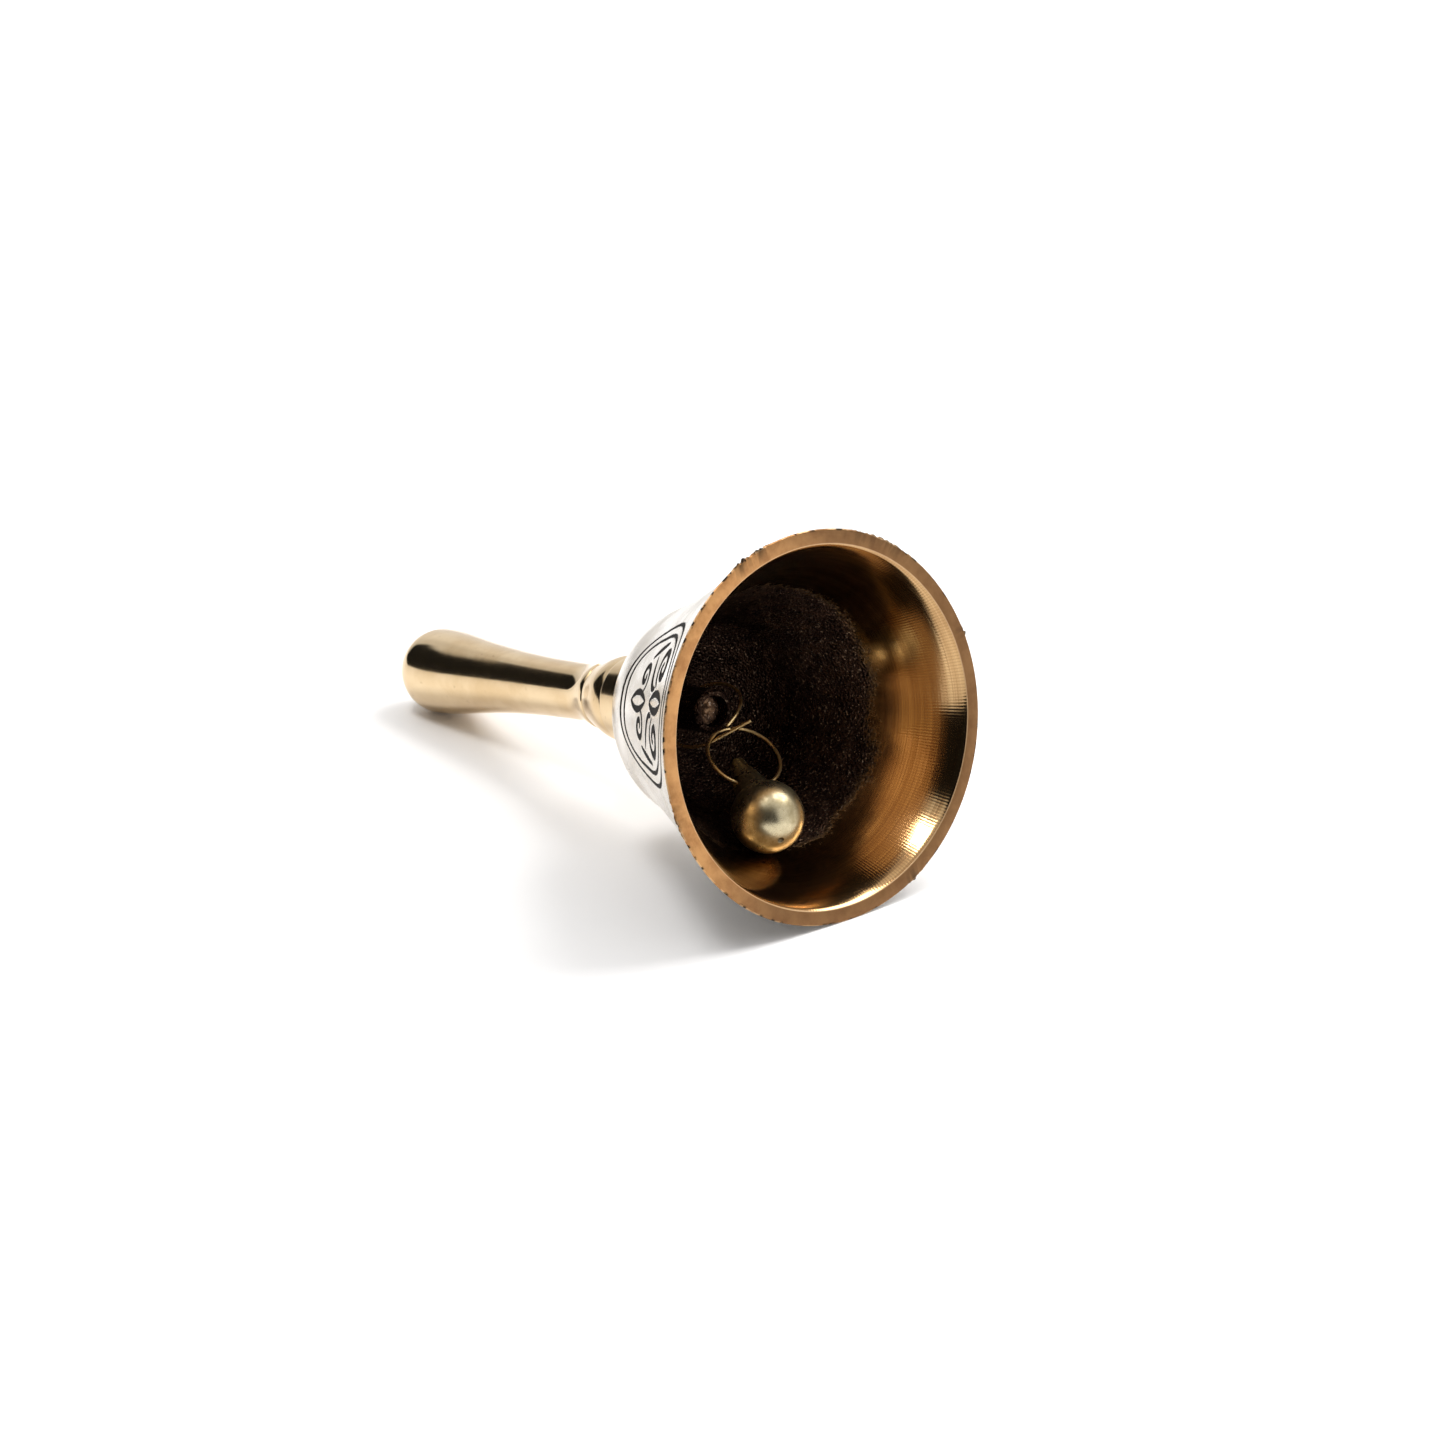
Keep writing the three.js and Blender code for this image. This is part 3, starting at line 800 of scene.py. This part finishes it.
def add_base_ring():
    """The turned ring behind the cup, rounded at its far edge."""
    near = cup_height + seat_gap
    far = near + base_ring_height
    rounding = base_ring_edge
    bands = [
        (0, line((near, bore_radius), (near, base_ring_radius - edge_break))),
        (0, line((near + edge_break, base_ring_radius))),
        (0, corner(far - rounding, base_ring_radius - rounding, rounding, 0, 90, 8)),
        (0, line((far, bore_radius))),
    ]
    made = turned_mesh(bands, 160)
    finish = polished_brass("base_ring_brass")
    return add_piece("base_band", made, BELL, [finish], "bell", "base_ring")


def add_collar():
    """The barrel-shaped ferrule at the foot of the grip."""
    near = cup_height + base_ring_height + 2 * seat_gap
    far = near + collar_height
    third = collar_height / 3
    side = bezier(
        (near + edge_break, collar_radius), (near + third, collar_radius + collar_bulge),
        (far - third, collar_top_radius + collar_bulge), (far - edge_break, collar_top_radius),
    )
    bands = [
        (0, line((near, bore_radius), (near, collar_radius - edge_break))),
        (0, side),
        (0, line((far, collar_top_radius - edge_break), (far, bore_radius))),
    ]
    made = turned_mesh(bands, 160)
    finish = polished_brass("collar_brass")
    return add_piece("collar_ring", made, BELL, [finish], "bell", "collar")


def add_handle():
    """The turned grip: a foot, a slim neck and a long swell to a half-round end."""
    foot_depth = cup_height + base_ring_height + collar_height + 3 * seat_gap
    neck_depth = foot_depth + grip_foot_height
    bulb_depth = foot_depth + grip_length - grip_bulb_radius
    bore_end = foot_depth + grip_bore_depth
    foot = bezier(
        (foot_depth + edge_break, grip_foot_radius), (foot_depth + grip_foot_reach, grip_foot_radius),
        (neck_depth - grip_waist_reach, grip_neck_radius), (neck_depth, grip_neck_radius),
    )
    swell = bezier(
        (neck_depth, grip_neck_radius), (neck_depth + grip_neck_reach, grip_neck_radius),
        (bulb_depth - grip_bulb_reach, grip_bulb_radius), (bulb_depth, grip_bulb_radius), 100,
    )
    bands = [
        (0, line((bore_end, 0), (bore_end, bore_radius), (foot_depth, bore_radius))),
        (0, line((foot_depth, grip_foot_radius - edge_break))),
        (0, foot),
        (0, swell),
        (0, arc(bulb_depth, grip_bulb_radius, 0, 90, 48)),
    ]
    made = turned_mesh(bands, 160)
    return add_piece("grip", made, BELL, [polished_brass("grip_brass")], "bell", "handle")


def clapper_place():
    """Frame of the clapper: origin at its eye, y along the eye and x towards the ball."""
    verts = [v.co for v in frame["nodes"]["clapper"].data.vertices]
    far = [v - EYE_PLACE for v in verts if (v - EYE_PLACE).length > 1.1 * eye_reach]
    towards = sum(far, Vector()) / len(far)
    y = -EYE_AXIS.normalized()
    x = (towards - towards.dot(y) * y).normalized()
    return Matrix.Translation(EYE_PLACE) @ Matrix((x, y, x.cross(y))).transposed().to_4x4()


def add_clapper():
    """The ball with a dimple, its tapered stem and the eye through it."""
    place = clapper_place()
    root = math.degrees(math.acos(stem_root_radius / ball_radius))
    dimple_edge = math.degrees(math.acos(dimple_radius / ball_radius))
    end = stem_length - eye_reach
    ball_end = -eye_reach - ball_radius
    ball = arc(-eye_reach, ball_radius, -dimple_edge, root, 70)
    stem = evenly(line(ball[-1], (end - stem_end_edge, stem_end_radius)), 0.4 * MM)
    bands = [
        (0, line((ball_end + dimple_depth, 0), ball[0])),
        (0, ball),
        (0, stem),
        (0, line((end, stem_end_radius - stem_end_edge), (end, 0))),
    ]
    made = turned_mesh(bands, 128)
    made = cut(made, rod(EYE_PLACE, EYE_AXIS, eye_radius, 2 * ball_radius, place))
    return add_piece("clapper_ball", made, place, [clapper_brass()], "clapper", "clapper")


def finish_rings():
    """The wire rings keep their CAD shape, smoothed, with the wire's finish."""
    material = wire_brass()
    for name in ("hanger_ring", "link_ring"):
        ring = frame["nodes"][name]
        ring.data.polygons.foreach_set("use_smooth", [True] * len(ring.data.polygons))
        weld = ring.modifiers.new("weld", "WELD")
        weld.merge_threshold = 0.001 * MM
        rounder = ring.modifiers.new("rounder", "SUBSURF")
        rounder.levels = 1
        rounder.render_levels = 1
        for slot in ring.material_slots:
            slot.material = material


# ------------------------------------------------------------------ studio

def add_floor():
    """A flat sheet far larger than the view."""
    made = bmesh.new()
    bmesh.ops.create_grid(made, x_segments=8, y_segments=8, size=4)
    mesh = bpy.data.meshes.new("floor")
    made.to_mesh(mesh)
    made.free()
    mesh.materials.append(pale_floor())
    floor = bpy.data.objects.new("floor", mesh)
    bpy.context.scene.collection.objects.link(floor)


def add_softbox(place, size, watts):
    """Soft square light that looks at the bell."""
    data = bpy.data.lights.new("softbox", "AREA")
    data.shape = "SQUARE"
    data.size = size
    data.energy = watts
    data.color = (1.0, 0.99, 0.975)
    light = bpy.data.objects.new("softbox", data)
    light.location = place
    light.rotation_euler = (-light.location).to_track_quat("-Z", "Y").to_euler()
    bpy.context.scene.collection.objects.link(light)


def light_world():
    """White tent behind and above the bell, with the dark room showing on the near side."""
    world = bpy.data.worlds.new("studio")
    world.use_nodes = True
    bpy.context.scene.world = world
    f = Nodes(world.node_tree)
    direction = f.add("ShaderNodeTexCoord").outputs["Generated"]
    x, y, z = f.add("ShaderNodeSeparateXYZ", direction).outputs
    near_side = f.ramp(y, -0.12, 0.0, 1.0, 0.0)
    above_low = f.ramp(z, -0.02, 0.03)
    ceiling = f.math("ADD", f.math("MULTIPLY", f.math("MINIMUM", x, 0.0), 0.36), 0.78)
    below_top = f.ramp(f.math("SUBTRACT", z, ceiling), -0.04, 0.03, 1.0, 0.0)
    dark = f.math("MULTIPLY", near_side, f.math("MULTIPLY", above_low, below_top))
    tent = f.math("MAXIMUM", f.ramp(z, 0.80, 0.92, 0.70, 1.0), f.ramp(y, 0.0, 0.25, 0.70, 0.92))
    level = f.math("MULTIPLY", tent, f.ramp(dark, 0.0, 1.0, 1.0, 0.02))
    background = f.tree.nodes["Background"]
    background.inputs["Color"].default_value = (1.0, 0.99, 0.98, 1)
    f.tree.links.new(level, background.inputs["Strength"])


add_camera()
bpy.context.scene.view_settings.view_transform = "Standard"
add_floor()
light_world()
add_softbox(place=(0.12, 0.42, 0.62), size=0.4, watts=3.8)
add_softbox(place=(0.04, -0.24, 0.78), size=0.22, watts=2.1)
add_cup()
add_stud()
add_base_ring()
add_collar()
add_handle()
add_clapper()
finish_rings()
